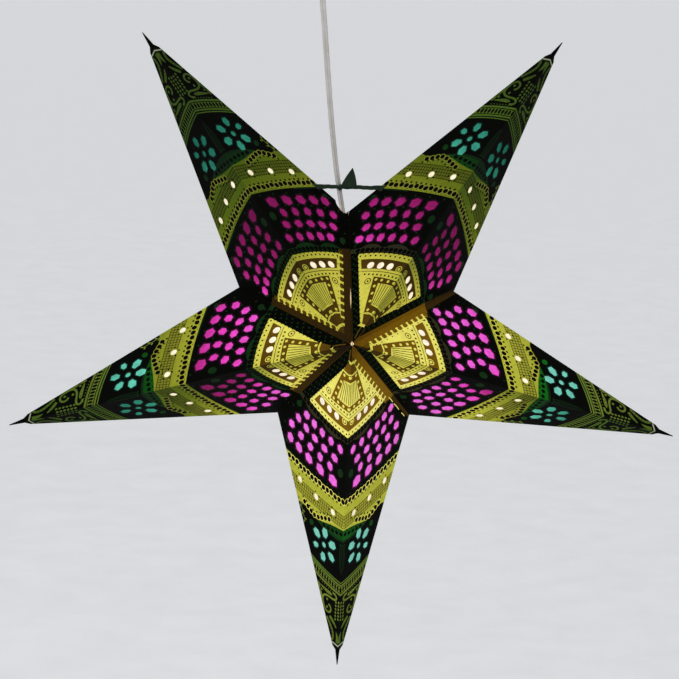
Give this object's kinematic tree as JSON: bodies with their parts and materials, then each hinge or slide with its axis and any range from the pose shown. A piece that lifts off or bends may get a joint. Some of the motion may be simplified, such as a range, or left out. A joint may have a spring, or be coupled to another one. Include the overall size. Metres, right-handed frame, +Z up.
{
  "type": "paper star lantern",
  "caption": "Folded card star lantern with arched rows of cut-outs backed by coloured tissue, hung by a flat cord from a ceiling cup, with a lampholder and bulb inside.",
  "frame": {"origin": "middle of the ceiling plate's top face, where it lies on the ceiling", "axes": "+Z up to the ceiling; the star's front faces -Y; +X to the right seen from the front"},
  "size_m": [0.5994, 0.2388, 0.675],
  "materials": {
    "printed_card": "matt printed card, lit from inside",
    "white_tissue": "translucent tissue",
    "magenta_tissue": "translucent tissue",
    "turquoise_tissue": "translucent tissue",
    "ribbon": "woven ribbon",
    "cord": "smooth flexible sheath",
    "lampholder": "moulded",
    "brass": "drawn",
    "bulb_glass": "opal, lit",
    "ceiling_plastic": "moulded",
    "steel": "turned",
    "terminal": "moulded"
  },
  "bodies": {
    "root": {"card_top_right": "printed_card", "card_right": "printed_card", "card_bottom": "printed_card", "card_left": "printed_card", "card_top_left": "printed_card", "inner_white_tissue_top_right": "white_tissue", "inner_white_tissue_right": "white_tissue", "inner_white_tissue_bottom": "white_tissue", "inner_white_tissue_left": "white_tissue", "inner_white_tissue_top_left": "white_tissue", "magenta_tissue_top_right": "magenta_tissue", "magenta_tissue_right": "magenta_tissue", "magenta_tissue_bottom": "magenta_tissue", "magenta_tissue_left": "magenta_tissue", "magenta_tissue_top_left": "magenta_tissue", "outer_white_tissue_top_right": "white_tissue", "outer_white_tissue_right": "white_tissue", "outer_white_tissue_bottom": "white_tissue", "outer_white_tissue_left": "white_tissue", "outer_white_tissue_top_left": "white_tissue", "turquoise_tissue_top_right": "turquoise_tissue", "turquoise_tissue_right": "turquoise_tissue", "turquoise_tissue_bottom": "turquoise_tissue", "turquoise_tissue_left": "turquoise_tissue", "turquoise_tissue_top_left": "turquoise_tissue", "ribbon_tie": "ribbon", "cord": "cord", "cord_bush": "lampholder", "lampholder_cap": "lampholder", "lampholder_body": "lampholder", "lamp_sleeve": "brass", "bulb": "bulb_glass", "ceiling_plate": "ceiling_plastic", "ceiling_cup": "ceiling_plastic", "cup_screws": "steel", "terminal_block": "terminal", "cord_grip": "ceiling_plastic", "grip_nut": "ceiling_plastic", "grip_screw": "steel"}
  },
  "joints": []
}
